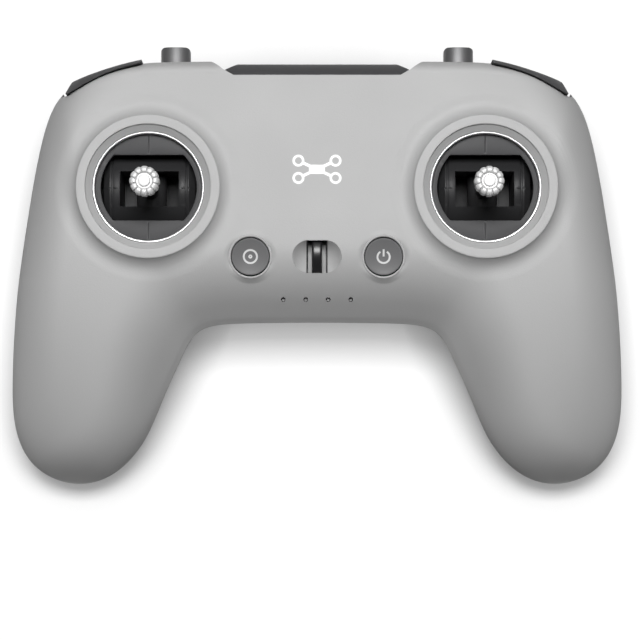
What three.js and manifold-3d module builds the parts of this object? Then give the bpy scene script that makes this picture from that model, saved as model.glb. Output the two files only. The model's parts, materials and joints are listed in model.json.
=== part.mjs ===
// A compact two-stick radio transmitter controller, of the kind held like a game pad.
//
// Millimetres. +Z points out of the face, +Y towards the top edge with the toggles and the antenna, +X to the
// right of the user. The origin is under the middle of the controller, on the surface that it rests on.
//
// The casing is one lofted body, made hollow and split along a curved parting line into a front and a rear
// shell. Everything else is placed inside or on it: two stick gimbals, the boards and battery, the buttons,
// the shoulder controls and a folding antenna.

import * as THREE from "three";
import { mergeVertices } from "three/addons/utils/BufferGeometryUtils.js";
import Module from "manifold-3d";

const wasm = await Module();
wasm.setup();

// ---------------------------------------------------------------------------------------------------------
// Driving dimensions
// ---------------------------------------------------------------------------------------------------------

const WALL = 2; // thickness of both shells
const GAP = 0.3; // gap between pieces that touch in the real controller
const SHELL_TOLERANCE = 0.12; // the shells may be this far from their exact shape
const FACE_Z = 45; // height of the flat face above the surface that the controller rests on
const PARTING_Z = 30; // height of the parting line over the upper body
const GRIP_PARTING_Z = 11; // height of the parting line at the tip of a grip
const STICK_TOP_Z = 62; // the highest point of the controller

const STICK = { x: 44.5, y: 19, pivotZ: 30 }; // centre of the right gimbal
const RING = { topZ: 47.5, outer: 19.05, inner: 16.5 }; // raised ring of the front shell around each stick
const COVER = { topZ: 43.5, bottomZ: 41.8, radius: 14.7, opening: 12.7, openingHalfY: 8.7 };
const BARREL = { radius: 11.5, halfLength: 12.2, windowX: 7.8, windowY: 4.7 };
const FRAME = { outer: 17.4, inner: 16, bottomZ: 11, topZ: 39.7 };
const BUTTON = { x: 17.6, y: 0.7, z: 43.4, radius: 5, lip: 5.75, travel: 0.8 };
const BUTTON_TILT = THREE.MathUtils.degToRad(15);
const LANYARD = { y: 0.7, length: 13, width: 8.5, floorZ: 38 };
const LED = { y: -10.2, pitch: 6, radius: 0.55 };
const TOGGLE = { x: 38.5, z: 24, pivotY: 47, tipY: 59.5, width: 8, thickness: 5, slotHalfZ: 5.2 };
const SHOULDER = { x: 56.5, edgeY: 50.6, z: 23, proud: 0.8, slopeDegrees: -16 };
const DIAL = { radius: 7, y: 44.8, z: [19, 27] };
const ANTENNA = { halfLength: 26.2, hubY: 51.4, hubZ: 7.4, hubRadius: 5.8, endY: 16, thickness: 5 };
const BOARD = { bottom: 26, top: 27.6, halfWidth: 24.5, y: [-9, 42] };
const SOCKET = { x: 20, z: 21, outer: 4.2, inner: 3.4 };
const SCREWS = [
  { x: 67, y: 28, seat: 6 },
  { x: 35, y: -8, seat: 12 },
  { x: 64, y: -38, seat: 6 },
];
const SIDES = [
  ["left", -1],
  ["right", 1],
];

// ---------------------------------------------------------------------------------------------------------
// Materials
// ---------------------------------------------------------------------------------------------------------

const finish = (color, roughness, metalness = 0) =>
  new THREE.MeshStandardMaterial({ color, roughness, metalness });
const MATERIALS = {
  shell: finish(0xc4c4c4, 0.6),
  bezel: finish(0xa0a0a0, 0.5),
  trim: finish(0xe8e8e8, 0.2, 1),
  dark: finish(0x505052, 0.5),
  black: finish(0x1c1c1d, 0.4),
  button: finish(0x6a6a6c, 0.5),
  stick: finish(0xd8d8d8, 0.35, 1),
  steel: finish(0xb4b4b6, 0.3, 1),
  board: finish(0x1f4d36, 0.6),
  battery: finish(0x2d2f38, 0.55),
  lightGuide: finish(0xe6e9ea, 0.3),
};

// ---------------------------------------------------------------------------------------------------------
// Solids
// ---------------------------------------------------------------------------------------------------------

// A closed geometry as a manifold-3d solid, turned the right way out.
function solid(geometry) {
  const bare = geometry.index ? geometry.toNonIndexed() : geometry.clone();
  bare.deleteAttribute("normal");
  bare.deleteAttribute("uv");
  const merged = mergeVertices(bare, 1e-4);
  const vertProperties = merged.attributes.position.array;
  const triVerts = new Uint32Array(merged.index.array);
  const made = new wasm.Manifold(new wasm.Mesh({ numProp: 3, vertProperties, triVerts }));
  if (made.volume() > 0) return made;
  for (let i = 0; i < triVerts.length; i += 3) {
    [triVerts[i + 1], triVerts[i + 2]] = [triVerts[i + 2], triVerts[i + 1]];
  }
  return new wasm.Manifold(new wasm.Mesh({ numProp: 3, vertProperties, triVerts }));
}

const join = (first, ...others) => others.reduce((all, next) => all.add(next), first);
const cut = (from, ...tools) => tools.reduce((left, tool) => left.subtract(tool), from);

function geometryOf(made) {
  const { vertProperties, triVerts } = made.getMesh();
  const geometry = new THREE.BufferGeometry();
  geometry.setAttribute("position", new THREE.BufferAttribute(vertProperties, 3));
  geometry.setIndex(new THREE.BufferAttribute(triVerts, 1));
  const faceted = geometry.toNonIndexed();
  faceted.computeVertexNormals();
  return faceted;
}

// A box between two values on each axis.
function block([x0, x1], [y0, y1], [z0, z1]) {
  const geometry = new THREE.BoxGeometry(Math.abs(x1 - x0), y1 - y0, z1 - z0);
  return solid(geometry.translate((x0 + x1) / 2, (y0 + y1) / 2, (z0 + z1) / 2));
}

// A cylinder along an axis, between two values on it, with its centre line at the other two coordinates.
function rod(axis, radius, [from, to], [a, b], segments = 24) {
  const geometry = new THREE.CylinderGeometry(radius, radius, Math.abs(to - from), segments);
  const middle = (from + to) / 2;
  if (axis === "x") return solid(geometry.rotateZ(Math.PI / 2).translate(middle, a, b));
  if (axis === "y") return solid(geometry.translate(a, middle, b));
  return solid(geometry.rotateX(Math.PI / 2).translate(a, b, middle));
}

// A profile of [radius, z] points turned about a vertical axis. It closes on itself.
function turned(profile, [x, y], segments = 32) {
  const points = [...profile, profile[0]].map(([radius, z]) => new THREE.Vector2(radius, z));
  return solid(new THREE.LatheGeometry(points, segments).rotateX(Math.PI / 2).translate(x, y, 0));
}

const outline = (points) => new THREE.Shape(points.map(([a, b]) => new THREE.Vector2(a, b)));

// An XY outline raised between two heights.
function raised(shape, [z0, z1], curveSegments = 8) {
  const geometry = new THREE.ExtrudeGeometry(shape, { depth: z1 - z0, bevelEnabled: false, curveSegments });
  return solid(geometry.translate(0, 0, z0));
}

// A YZ outline run along X between two values.
function runAlongX(shape, [x0, x1], curveSegments = 8) {
  const geometry = new THREE.ExtrudeGeometry(shape, { depth: x1 - x0, bevelEnabled: false, curveSegments });
  const turn = new THREE.Matrix4().makeBasis(
    new THREE.Vector3(0, 1, 0),
    new THREE.Vector3(0, 0, 1),
    new THREE.Vector3(1, 0, 0),
  );
  return solid(geometry.applyMatrix4(turn).translate(x0, 0, 0));
}

// A stadium, longest along X.
function stadium([x, y], length, width) {
  const shape = new THREE.Shape();
  const reach = (length - width) / 2;
  shape.absarc(x + reach, y, width / 2, -Math.PI / 2, Math.PI / 2);
  shape.absarc(x - reach, y, width / 2, Math.PI / 2, (3 * Math.PI) / 2);
  return shape;
}

// ---------------------------------------------------------------------------------------------------------
// Scene graph
// ---------------------------------------------------------------------------------------------------------

const controller = new THREE.Group();

function addPart(name, made, material, parent = controller) {
  const mesh = new THREE.Mesh(geometryOf(made), material);
  mesh.name = name;
  parent.add(mesh);
  return mesh;
}

// ---------------------------------------------------------------------------------------------------------
// The body as a loft
// ---------------------------------------------------------------------------------------------------------

// Section lines across the right half, from the middle to the tip of the grip. Each runs from a point on the
// outer edge (top and side) to one on the inner edge (bottom and inside of the grip), given as
// [xOuter, yOuter, xInner, yInner].
const SECTION_LINES = [
  [0, 54, 0, -15.9],
  [20, 54, 12, -16],
  [37, 53.9, 22, -16.2],
  [48, 53.3, 28, -16.8],
  [57.5, 51.3, 32, -18.4],
  [65, 48.3, 34.7, -21.5],
  [70.6, 42.8, 36.8, -25.5],
  [74.8, 30, 39.2, -30.5],
  [77.9, 12, 41.8, -36.2],
  [80.7, -9, 44.3, -42],
  [82.5, -30.5, 47, -47.3],
  [82, -45.5, 51.2, -52.8],
  [76.8, -55.2, 57.3, -57.5],
];
const GRIP_TIP = [66.4, -59.5];
const TIP = SECTION_LINES.length; // the section number at which the two edges meet

// The whole edge as one closed curve: out along the right outer edge, back along the inner one, and mirrored.
const rightEdge = [
  ...SECTION_LINES.map(([x, y]) => [x, y]),
  GRIP_TIP,
  ...SECTION_LINES.map(([, , x, y]) => [x, y]).reverse(),
];
const leftEdge = rightEdge
  .slice(1, -1)
  .reverse()
  .map(([x, y]) => [-x, y]);
const edgePoints = [...rightEdge, ...leftEdge].map(([x, y]) => new THREE.Vector3(x, y, 0));
const edge = new THREE.CatmullRomCurve3(edgePoints, true, "centripetal");

// Height of the parting line, of the front surface and of the rear surface away from the edges.
const gripShare = (y) => Math.max(0, (-5 - y) / 54.5);
const partingZ = (y) => PARTING_Z - (PARTING_Z - GRIP_PARTING_Z) * gripShare(y) ** 1.4;
const FACE_RADIUS = 130; // the face bends down over this radius from y = 12 towards the grips
const frontCrest = (y) => FACE_Z - (FACE_RADIUS - Math.sqrt(FACE_RADIUS ** 2 - Math.max(0, 12 - y) ** 2));
const BOTTOM_EDGE_Z = 15; // the rear rises to this height at the bottom edge between the grips

function rearCrest(y, section) {
  const centre = 1 - THREE.MathUtils.smoothstep(section, 3, 7);
  const rising = THREE.MathUtils.smoothstep(16 - y, 0, 33);
  const tip = 5 * (Math.max(0, -40 - y) / 19.5) ** 2;
  return centre * BOTTOM_EDGE_Z * rising + tip;
}

// How the surface rises from the edge: 0 on the edge, 1 at `width` from it. A higher power rounds it more.
const rise = (distance, width, power) => (1 - (1 - Math.min(distance / width, 1)) ** 2) ** (1 / power);

// The rounding at each edge changes from the upper body to the side and on to the grip.
function rounding(section) {
  const side = THREE.MathUtils.smoothstep(section, 3.5, 6.5);
  const grip = THREE.MathUtils.smoothstep(section, 7, 11);
  const mix = (top, middle, low) => THREE.MathUtils.lerp(THREE.MathUtils.lerp(top, middle, side), low, grip);
  return {
    frontOuter: [mix(4, 13, 30), mix(2, 1.35, 1.6)],
    frontInner: [mix(24, 24, 16), mix(1, 1.1, 1.6)],
    rearOuter: [mix(8, 14, 20), mix(2, 1.6, 2)],
    rearInner: [mix(5, 16, 20), 2],
  };
}

const RING_HALF = 8; // steps across the front of a section, and across its rear
const STEPS_PER_SECTION = 2;

function ringOf(section) {
  const knots = edgePoints.length;
  const outer = edge.getPoint(Math.abs(section) / knots);
  const inner = edge.getPoint((2 * TIP - Math.abs(section)) / knots);
  const length = outer.distanceTo(inner);
  const direction = inner.clone().sub(outer).normalize();
  const slant = (t) => edge.getTangent(t).cross(direction).length(); // turns a length on the line into depth
  const outerSlant = slant(Math.abs(section) / knots);
  const innerSlant = slant((2 * TIP - Math.abs(section)) / knots);
  const round = rounding(Math.abs(section));
  const mirror = Math.sign(section) || 1;
  const ring = [];
  for (let i = 0; i < 2 * RING_HALF; i++) {
    const angle = (Math.PI * i) / RING_HALF;
    const share = (1 - Math.cos(angle)) / 2; // 0 at the inner edge, 1 at the outer edge
    const { x, y } = inner.clone().lerp(outer, share);
    const front = i <= RING_HALF;
    const [outerRound, innerRound] = front
      ? [round.frontOuter, round.frontInner]
      : [round.rearOuter, round.rearInner];
    const outerDepth = (1 - share) * length * (front ? outerSlant : 1);
    const innerDepth = share * length * (front ? innerSlant : 1);
    const height = rise(outerDepth, ...outerRound) * rise(innerDepth, ...innerRound);
    const crest = front ? frontCrest(y) : rearCrest(y, Math.abs(section));
    ring.push([mirror * x, y, partingZ(y) + (crest - partingZ(y)) * height]);
  }
  return ring;
}

// The closed outer surface of the body: a pole at each grip tip and rings between them.
function bodyGeometry() {
  const count = 2 * TIP * STEPS_PER_SECTION;
  const rings = [];
  for (let i = 1; i < count; i++) rings.push(ringOf(i / STEPS_PER_SECTION - TIP));
  const pole = (sign) => [sign * GRIP_TIP[0], GRIP_TIP[1], partingZ(GRIP_TIP[1])];
  const positions = [pole(-1), ...rings.flat(), pole(1)].flat();
  const around = 2 * RING_HALF;
  const last = rings.length * around + 1;
  const vertex = (ring, i) => 1 + ring * around + (i % around);
  const index = [];
  for (let i = 0; i < around; i++) {
    index.push(0, vertex(0, i), vertex(0, i + 1));
    for (let ring = 0; ring < rings.length - 1; ring++) {
      index.push(vertex(ring, i), vertex(ring + 1, i), vertex(ring + 1, i + 1));
      index.push(vertex(ring, i), vertex(ring + 1, i + 1), vertex(ring, i + 1));
    }
    index.push(last, vertex(rings.length - 1, i + 1), vertex(rings.length - 1, i));
  }
  const geometry = new THREE.BufferGeometry();
  geometry.setAttribute("position", new THREE.Float32BufferAttribute(positions, 3));
  geometry.setIndex(index);
  geometry.computeVertexNormals();
  return geometry;
}

// The same surface moved along its normals, which point outwards.
function offset(geometry, distance) {
  const moved = geometry.clone();
  const { position, normal } = moved.attributes;
  for (let i = 0; i < position.count; i++) {
    position.setXYZ(
      i,
      position.getX(i) + distance * normal.getX(i),
      position.getY(i) + distance * normal.getY(i),
      position.getZ(i) + distance * normal.getZ(i),
    );
  }
  return moved;
}

const surface = bodyGeometry();
const bodyOutside = solid(surface);
const bodyInside = solid(offset(surface, -WALL));

// Everything above the parting line raised by a distance, as a block bounded by the curved parting surface.
function aboveParting(raisedBy) {
  const line = [];
  for (let y = -65; y <= -5; y += 6) line.push([y, partingZ(y) + raisedBy]);
  return runAlongX(outline([[-65, 90], ...line, [70, PARTING_Z + raisedBy], [70, 90]]), [-100, 100]);
}

// ---------------------------------------------------------------------------------------------------------
// Casing
// ---------------------------------------------------------------------------------------------------------

const mirrored = (x, side) => (side > 0 ? x : x.map((value) => -value).reverse());

// The notch in the top edge in which the antenna turns, and the pocket in the back in which it lies folded.
function antennaSpace(grow) {
  const notch = outline([
    [-22.1, 48.8 - grow],
    [22.1, 48.8 - grow],
    [24.9 + grow, 50.4 - grow],
    [28.6 + grow, 53.6],
    [30 + grow, 60],
    [-30 - grow, 60],
    [-28.6 - grow, 53.6],
    [-24.9 - grow, 50.4 - grow],
  ]);
  const halfWidth = ANTENNA.halfLength + 0.6 + grow;
  const top = ANTENNA.hubZ + ANTENNA.hubRadius + 0.6 + grow;
  const roof = ANTENNA.hubZ - 0.1 + grow;
  const hub = block([-halfWidth, halfWidth], [ANTENNA.hubY - ANTENNA.hubRadius - 0.6 - grow, 60], [-5, top]);
  const plate = block([-halfWidth, halfWidth], [ANTENNA.endY - 0.7 - grow, 60], [-5, roof]);
  return join(raised(notch, [-5, 60]), hub, plate);
}

// A cylinder square to the slanted shoulder edge, from a depth inside the edge to one outside it.
function shoulderRod(radius, inward, outward, side) {
  const made = rod("y", radius, [-inward, outward], [0, 0]);
  return made.rotate([0, 0, side * SHOULDER.slopeDegrees]).translate([
    side * SHOULDER.x,
    SHOULDER.edgeY,
    SHOULDER.z,
  ]);
}

// The holes through a shoulder for its control: the dial on the left, the record button on the right.
const shoulderHole = (side) =>
  side < 0
    ? block([-SHOULDER.x - 7.4, -SHOULDER.x + 7.4], [38, 60], [DIAL.z[0] - GAP, DIAL.z[1] + GAP])
    : shoulderRod(4.5, 10, 10, 1);

// The room that the dark insert of a shoulder takes up, grown by a distance. Its inner edge crosses the face.
function shoulderSpace(side, grow) {
  const plan = outline([
    [side * (46.6 - grow), 62],
    [side * (46.6 - grow), 52.2 - grow],
    [side * 56.5, 49.3 - grow],
    [side * 66.2, 44.4 - grow],
    [side * (68.2 + grow), 44.4 - grow],
    [side * (68.2 + grow), 62],
  ]);
  return raised(plan, [15 - grow, 60]);
}

// The insert follows the body, a little proud of it, and is cut straight along its outer edge.
function shoulderInsert(side) {
  const skin = cut(solid(offset(surface, 2 * SHOULDER.proud)), bodyInside);
  const straight = outline([
    [side * 46.6, 40],
    [side * 67.6, 40],
    [side * 66.9, 44.6],
    [side * 65.4, 47.7],
    [side * 64.4, 48.1],
    [side * 46.6, 53.3],
  ]);
  return skin.intersect(shoulderSpace(side, 0)).intersect(raised(straight, [0, 60]));
}

const toggleSlot = (side) =>
  block(
    mirrored([TOGGLE.x - TOGGLE.width / 2 - 0.4, TOGGLE.x + TOGGLE.width / 2 + 0.4], side),
    [50, 60],
    [TOGGLE.z - TOGGLE.slotHalfZ, TOGGLE.z + TOGGLE.slotHalfZ],
  );

// A solid given about the origin, moved to a round button's place and tilted with the face there.
const atButton = (made, side) =>
  made.rotate([(BUTTON_TILT * 180) / Math.PI, 0, 0]).translate([side * BUTTON.x, BUTTON.y, BUTTON.z]);

const ledPositions = [-1.5, -0.5, 0.5, 1.5].map((step) => step * LED.pitch);

function frontShell(shell) {
  let made = shell.intersect(aboveParting(GAP / 2));
  for (const [, side] of SIDES) {
    const centre = [side * STICK.x, STICK.y];
    const ring = [
      [RING.inner, 40],
      [RING.outer, 40],
      [RING.outer, RING.topZ - 0.5],
      [RING.outer - 0.5, RING.topZ],
      [RING.inner, RING.topZ],
    ];
    made = join(made, turned(ring, centre, 40));
    const frameRoom = rod("z", FRAME.outer + GAP, [0, 40], centre);
    made = cut(made, rod("z", RING.inner, [35, 60], centre, 40), frameRoom);
    const bore = BUTTON.radius + 0.2;
    const lip = turned([[bore, -2.4], [BUTTON.lip, -2.4], [BUTTON.lip, 0.4], [bore, 0.4]], [0, 0], 24);
    made = join(made, atButton(lip, side));
    made = cut(made, atButton(rod("z", bore, [-8, 8], [0, 0], 24), side));
    made = cut(made, shoulderSpace(side, GAP), toggleSlot(side));
  }
  made = cut(made, raised(stadium([0, LANYARD.y], LANYARD.length, LANYARD.width), [32, 60]));
  for (const x of ledPositions) made = cut(made, rod("z", LED.radius + 0.15, [28, 45], [x, LED.y], 8));
  return made;
}

function rearShell(shell) {
  let made = cut(shell, aboveParting(-GAP / 2));
  for (const [, side] of SIDES) {
    made = cut(made, shoulderSpace(side, GAP), shoulderHole(side), toggleSlot(side));
    made = cut(made, rod("y", SOCKET.outer + GAP, [-20, 0], [side * SOCKET.x, SOCKET.z], 20));
  }
  const usb = block([-4.9, 4.9], [-20, -6], [19.9, 23.9]);
  const boreEnd = ANTENNA.halfLength + 3.6;
  return cut(made, usb, rod("x", 1.5, [-boreEnd, boreEnd], [ANTENNA.hubY, ANTENNA.hubZ], 16));
}

// The pillars of both shells around every screw, with a counterbore for its head and a hole for its shank.
const screwPlaces = SCREWS.flatMap((screw) => SIDES.map(([, side]) => ({ ...screw, x: side * screw.x })));
const pillars = screwPlaces.map(({ x, y }) => rod("z", 3.8, [-5, 60], [x, y], 10));
const screwHoles = screwPlaces.map(({ x, y, seat }) =>
  join(rod("z", 2.9, [-5, seat], [x, y], 16), rod("z", 1.5, [-5, partingZ(y) + 7], [x, y], 10)),
);

const cavity = cut(bodyInside, antennaSpace(WALL), ...pillars);
const shell = cut(bodyOutside, cavity, antennaSpace(0), ...screwHoles);
addPart("front_shell", frontShell(shell).simplify(SHELL_TOLERANCE), MATERIALS.shell);
addPart("rear_shell", rearShell(shell).simplify(SHELL_TOLERANCE), MATERIALS.shell);

screwPlaces.forEach(({ x, y, seat }, i) => {
  const head = rod("z", 2.5, [seat - 2.3, seat - GAP], [x, y], 20);
  const socket = rod("z", 1.1, [seat - 3, seat - 1.1], [x, y], 6);
  const shank = rod("z", 1.2, [seat - 0.5, partingZ(y) + 6.5], [x, y], 10);
  addPart(`case_screw_${i + 1}`, join(cut(head, socket), shank), MATERIALS.steel);
});

// ---------------------------------------------------------------------------------------------------------
// Stick gimbals
// ---------------------------------------------------------------------------------------------------------

class Helix extends THREE.Curve {
  constructor(radius, pitch, turns) {
    super();
    Object.assign(this, { radius, pitch, turns });
  }

  getPoint(t) {
    const angle = t * this.turns * 2 * Math.PI;
    const along = t * this.turns * this.pitch;
    return new THREE.Vector3(along, this.radius * Math.cos(angle), this.radius * Math.sin(angle));
  }
}

function spring(radius, wire, pitch, turns) {
  const section = new THREE.Shape().absarc(0, 0, wire, 0, 2 * Math.PI);
  const extrudePath = new Helix(radius, pitch, turns);
  const steps = Math.round(turns * 10);
  return solid(new THREE.ExtrudeGeometry(section, { extrudePath, steps, curveSegments: 3 }));
}

function crown() {
  const petals = 12;
  const petalPoints = [[0.1, 3.3], [0.25, 3.9], [0.75, 3.9], [0.9, 3.3]]; // [share of the petal, radius]
  const points = [];
  for (let i = 0; i < petals; i++) {
    for (const [share, radius] of petalPoints) {
      const angle = ((i + share) * 2 * Math.PI) / petals;
      points.push([radius * Math.cos(angle), radius * Math.sin(angle)]);
    }
  }
  const grip = raised(outline(points), [STICK_TOP_Z - 5, STICK_TOP_Z]);
  const skirt = rod("z", 3.1, [STICK_TOP_Z - 8, STICK_TOP_Z - 4], [0, 0]);
  const groove = turned([[1.45, 61], [2.2, 61], [2.2, 63], [1.45, 63]], [0, 0], 24);
  return cut(join(grip, skirt), groove, rod("z", 2.3, [50, STICK_TOP_Z - 2], [0, 0]));
}

function gimbal(name, side) {
  const place = new THREE.Group();
  place.position.set(side * STICK.x, STICK.y, 0);
  controller.add(place);
  const add = (part, made, material) => addPart(`${name}_${part}`, made, material, place);
  const axle = [0, STICK.pivotZ];

  const bezel = [[15, 41.4], [16.2, 41.4], [16.2, 47], [15, 44.9]];
  const trim = [[14, 43.8], [14.7, 43.8], [14.7, 45.1], [14, 45.1]];
  add("stick_bezel", turned(bezel, [0, 0], 40), MATERIALS.bezel);
  add("trim_ring", turned(trim, [0, 0], 40), MATERIALS.trim);

  const across = block([-20, 20], [-COVER.openingHalfY, COVER.openingHalfY], [30, 60]);
  const opening = rod("z", COVER.opening, [30, 60], [0, 0], 40).intersect(across);
  const plate = rod("z", COVER.radius, [COVER.bottomZ, COVER.topZ], [0, 0], 40);
  add("gimbal_cover", cut(plate, opening), MATERIALS.dark);

  const cup = [
    [0, FRAME.bottomZ],
    [FRAME.outer, FRAME.bottomZ],
    [FRAME.outer, FRAME.topZ],
    [FRAME.inner, FRAME.topZ],
    [FRAME.inner, FRAME.bottomZ + 2],
    [0, FRAME.bottomZ + 2],
  ];
  const bearings = rod("x", 2.8, [-20, 20], axle);
  add("gimbal_frame", cut(turned(cup, [0, 0], 28), bearings), MATERIALS.black);

  // The barrel turns about X. The end of its axle that carries the spring is the outer one.
  const { radius, halfLength } = BARREL;
  const drum = turned(
    [
      [0, -halfLength],
      [radius - 2, -halfLength],
      [radius, 2 - halfLength],
      [radius, halfLength - 2],
      [radius - 2, halfLength],
      [0, halfLength],
    ],
    [0, 0],
    28,
  );
  const lying = drum.rotate([0, 90, 0]).translate([0, 0, STICK.pivotZ]);
  const { windowX, windowY } = BARREL;
  const window = block([-windowX, windowX], [-windowY, windowY], [22.5, 50]);
  const trunnion = rod("x", 2.5, side > 0 ? [-17.6, 21.5] : [-21.5, 17.6], axle);
  const acrossY = rod("y", 1.5, [-12, 12], axle, 16);
  add("gimbal_barrel", cut(join(lying, trunnion), window, acrossY), MATERIALS.dark);
  add("pivot_pin", rod("y", 1.2, [-10.8, 10.8], axle, 16), MATERIALS.steel);

  const hub = rod("y", 4, [GAP - windowY, windowY - GAP], axle);
  const shaft = rod("z", 2, [STICK.pivotZ, STICK_TOP_Z - 2 - GAP], [0, 0], 20);
  add("stick_post", cut(join(hub, shaft), acrossY), MATERIALS.stick);
  add("stick_cap", crown(), MATERIALS.stick);

  const coil = spring(3.4, 0.45, 1.15, 3);
  const coilStart = side > 0 ? FRAME.outer + 0.9 : -FRAME.outer - 0.9 - 3 * 1.15;
  add("centering_spring", coil.translate([coilStart, 0, STICK.pivotZ]), MATERIALS.steel);
  const sensor = block(mirrored([-19.2, -18], side), [-6, 6], [20, 36]);
  add("sensor_board", sensor, MATERIALS.board);
}

for (const [name, side] of SIDES) gimbal(name, side);

// ---------------------------------------------------------------------------------------------------------
// Buttons, lights and lanyard bar on the face
// ---------------------------------------------------------------------------------------------------------

const dish = new THREE.SphereGeometry(30, 24, 24).translate(0, 0, 29.55);
const stemEnd = -(BUTTON.z - BOARD.top - 3.5) / Math.cos(BUTTON_TILT) + BUTTON.travel + GAP + 0.6;
const buttonCap = turned([[0, -3], [BUTTON.radius, -3], [BUTTON.radius, 0.3], [0, 0.3]], [0, 0]);
const buttonBody = join(cut(buttonCap, solid(dish)), rod("z", 2, [stemEnd, -2], [0, 0], 16));
const buttonNames = { left: "custom_button", right: "power_button" };
for (const [name, side] of SIDES) {
  addPart(buttonNames[name], atButton(buttonBody, side), MATERIALS.button);
  const switchY = BUTTON.y - stemEnd * Math.sin(BUTTON_TILT);
  const body = block(mirrored([BUTTON.x - 3, BUTTON.x + 3], side), [switchY - 3, switchY + 3], [27.9, 31.4]);
  addPart(`${name}_tact_switch`, body, MATERIALS.black);
}

const cupShape = (shrink) => stadium([0, LANYARD.y], LANYARD.length - shrink, LANYARD.width - shrink);
const cupBody = raised(cupShape(2 * GAP), [LANYARD.floorZ - 1.2, 60]).intersect(bodyOutside);
const bowl = solid(new THREE.SphereGeometry(1, 20, 12).scale(5.6, 3.4, 5).translate(0, LANYARD.y, 43.4));
const barPath = new THREE.Shape();
barPath.moveTo(LANYARD.y - 3.6, 40.4);
barPath.quadraticCurveTo(LANYARD.y, 44.8, LANYARD.y + 3.6, 42.2);
barPath.lineTo(LANYARD.y + 3.6, 40.4);
barPath.quadraticCurveTo(LANYARD.y, 42.4, LANYARD.y - 3.6, 38.6);
const bar = runAlongX(barPath, [-1.35, 1.35]);
const barSockets = block([-1.65, 1.65], [LANYARD.y - 3.9, LANYARD.y + 3.9], [38.2, 60]);
addPart("lanyard_cup", cut(cupBody, bowl, barSockets), MATERIALS.bezel);
addPart("lanyard_bar", bar, MATERIALS.black);

const pips = ledPositions.map((x) => rod("z", LED.radius, [29, 45], [x, LED.y], 8).intersect(bodyOutside));
const guideHalf = 1.5 * LED.pitch + 1.2;
const guideBar = block([-guideHalf, guideHalf], [LED.y - 1, LED.y + 1.2], [28.2, 29.8]);
addPart("led_light_guide", join(guideBar, ...pips), MATERIALS.lightGuide);

// ---------------------------------------------------------------------------------------------------------
// Shoulder controls
// ---------------------------------------------------------------------------------------------------------

for (const [name, side] of SIDES) {
  const insert = cut(shoulderInsert(side), shoulderHole(side)).simplify(GAP / 10);
  addPart(`${name}_shoulder_insert`, insert, MATERIALS.dark);

  const x = mirrored([TOGGLE.x - TOGGLE.width / 2, TOGGLE.x + TOGGLE.width / 2], side);
  const [near, far] = [TOGGLE.z - TOGGLE.thickness / 2, TOGGLE.z + TOGGLE.thickness / 2];
  const blade = outline([
    [TOGGLE.pivotY, near],
    [TOGGLE.tipY - 0.8, near],
    [TOGGLE.tipY, near + 0.8],
    [TOGGLE.tipY, far - 0.8],
    [TOGGLE.tipY - 0.8, far],
    [TOGGLE.pivotY, far],
  ]);
  const lever = join(runAlongX(blade, x), rod("x", TOGGLE.thickness / 2, x, [TOGGLE.pivotY, TOGGLE.z]));
  addPart(`${name}_toggle_lever`, lever, MATERIALS.dark);
  const toggleSwitch = block(x, [38, TOGGLE.pivotY - 2.8], [TOGGLE.z - 5, TOGGLE.z + 5]);
  addPart(`${name}_toggle_switch`, toggleSwitch, MATERIALS.black);
}

const wheel = rod("z", DIAL.radius, DIAL.z, [-SHOULDER.x, DIAL.y], 36);
addPart("dial_wheel", cut(wheel, rod("z", 1.8, [0, 60], [-SHOULDER.x, DIAL.y], 16)), MATERIALS.black);
addPart("dial_axle", rod("z", 1.5, [17.8, 28.4], [-SHOULDER.x, DIAL.y], 16), MATERIALS.steel);
const recordCap = join(shoulderRod(4.2, 3, SHOULDER.proud + 0.5, 1), shoulderRod(1.5, 4, -2, 1));
addPart("record_button", recordCap, MATERIALS.button);
const recordSwitch = new THREE.BoxGeometry(6, 2.2, 6);
recordSwitch.translate(0, -6.7, 0).rotateZ(THREE.MathUtils.degToRad(SHOULDER.slopeDegrees));
recordSwitch.translate(SHOULDER.x, SHOULDER.edgeY, SHOULDER.z);
addPart("record_tact_switch", solid(recordSwitch), MATERIALS.black);

// ---------------------------------------------------------------------------------------------------------
// Antenna
// ---------------------------------------------------------------------------------------------------------

const hubShape = new THREE.Shape();
const plateBottom = ANTENNA.hubZ - ANTENNA.hubRadius;
const plateTop = plateBottom + ANTENNA.thickness;
const meet = Math.asin((plateTop - ANTENNA.hubZ) / ANTENNA.hubRadius);
hubShape.moveTo(ANTENNA.endY, plateTop);
hubShape.lineTo(ANTENNA.endY, plateBottom);
hubShape.lineTo(ANTENNA.hubY, plateBottom);
hubShape.absarc(ANTENNA.hubY, ANTENNA.hubZ, ANTENNA.hubRadius, -Math.PI / 2, Math.PI - meet);
const paddle = runAlongX(hubShape, [-ANTENNA.halfLength, ANTENNA.halfLength], 12);
const paddlePlan = outline([
  [-21, 60],
  [-21.5, 57.4],
  [-26.2, 54.8],
  [-26.2, 24],
  [-20, 10],
  [20, 10],
  [26.2, 24],
  [26.2, 54.8],
  [21.5, 57.4],
  [21, 60],
]);
const hubAxis = [ANTENNA.hubY, ANTENNA.hubZ];
const paddleBody = paddle.intersect(raised(paddlePlan, [-5, 60]));
addPart("antenna_paddle", cut(paddleBody, rod("x", 1.5, [-40, 40], hubAxis, 16)), MATERIALS.black);
for (const [name, side] of SIDES) {
  const reach = mirrored([ANTENNA.halfLength - 6, ANTENNA.halfLength + 3.2], side);
  addPart(`${name}_antenna_pin`, rod("x", 1.2, reach, hubAxis, 16), MATERIALS.steel);
}

// ---------------------------------------------------------------------------------------------------------
// Electronics, and the sockets in the bottom edge
// ---------------------------------------------------------------------------------------------------------

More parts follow.
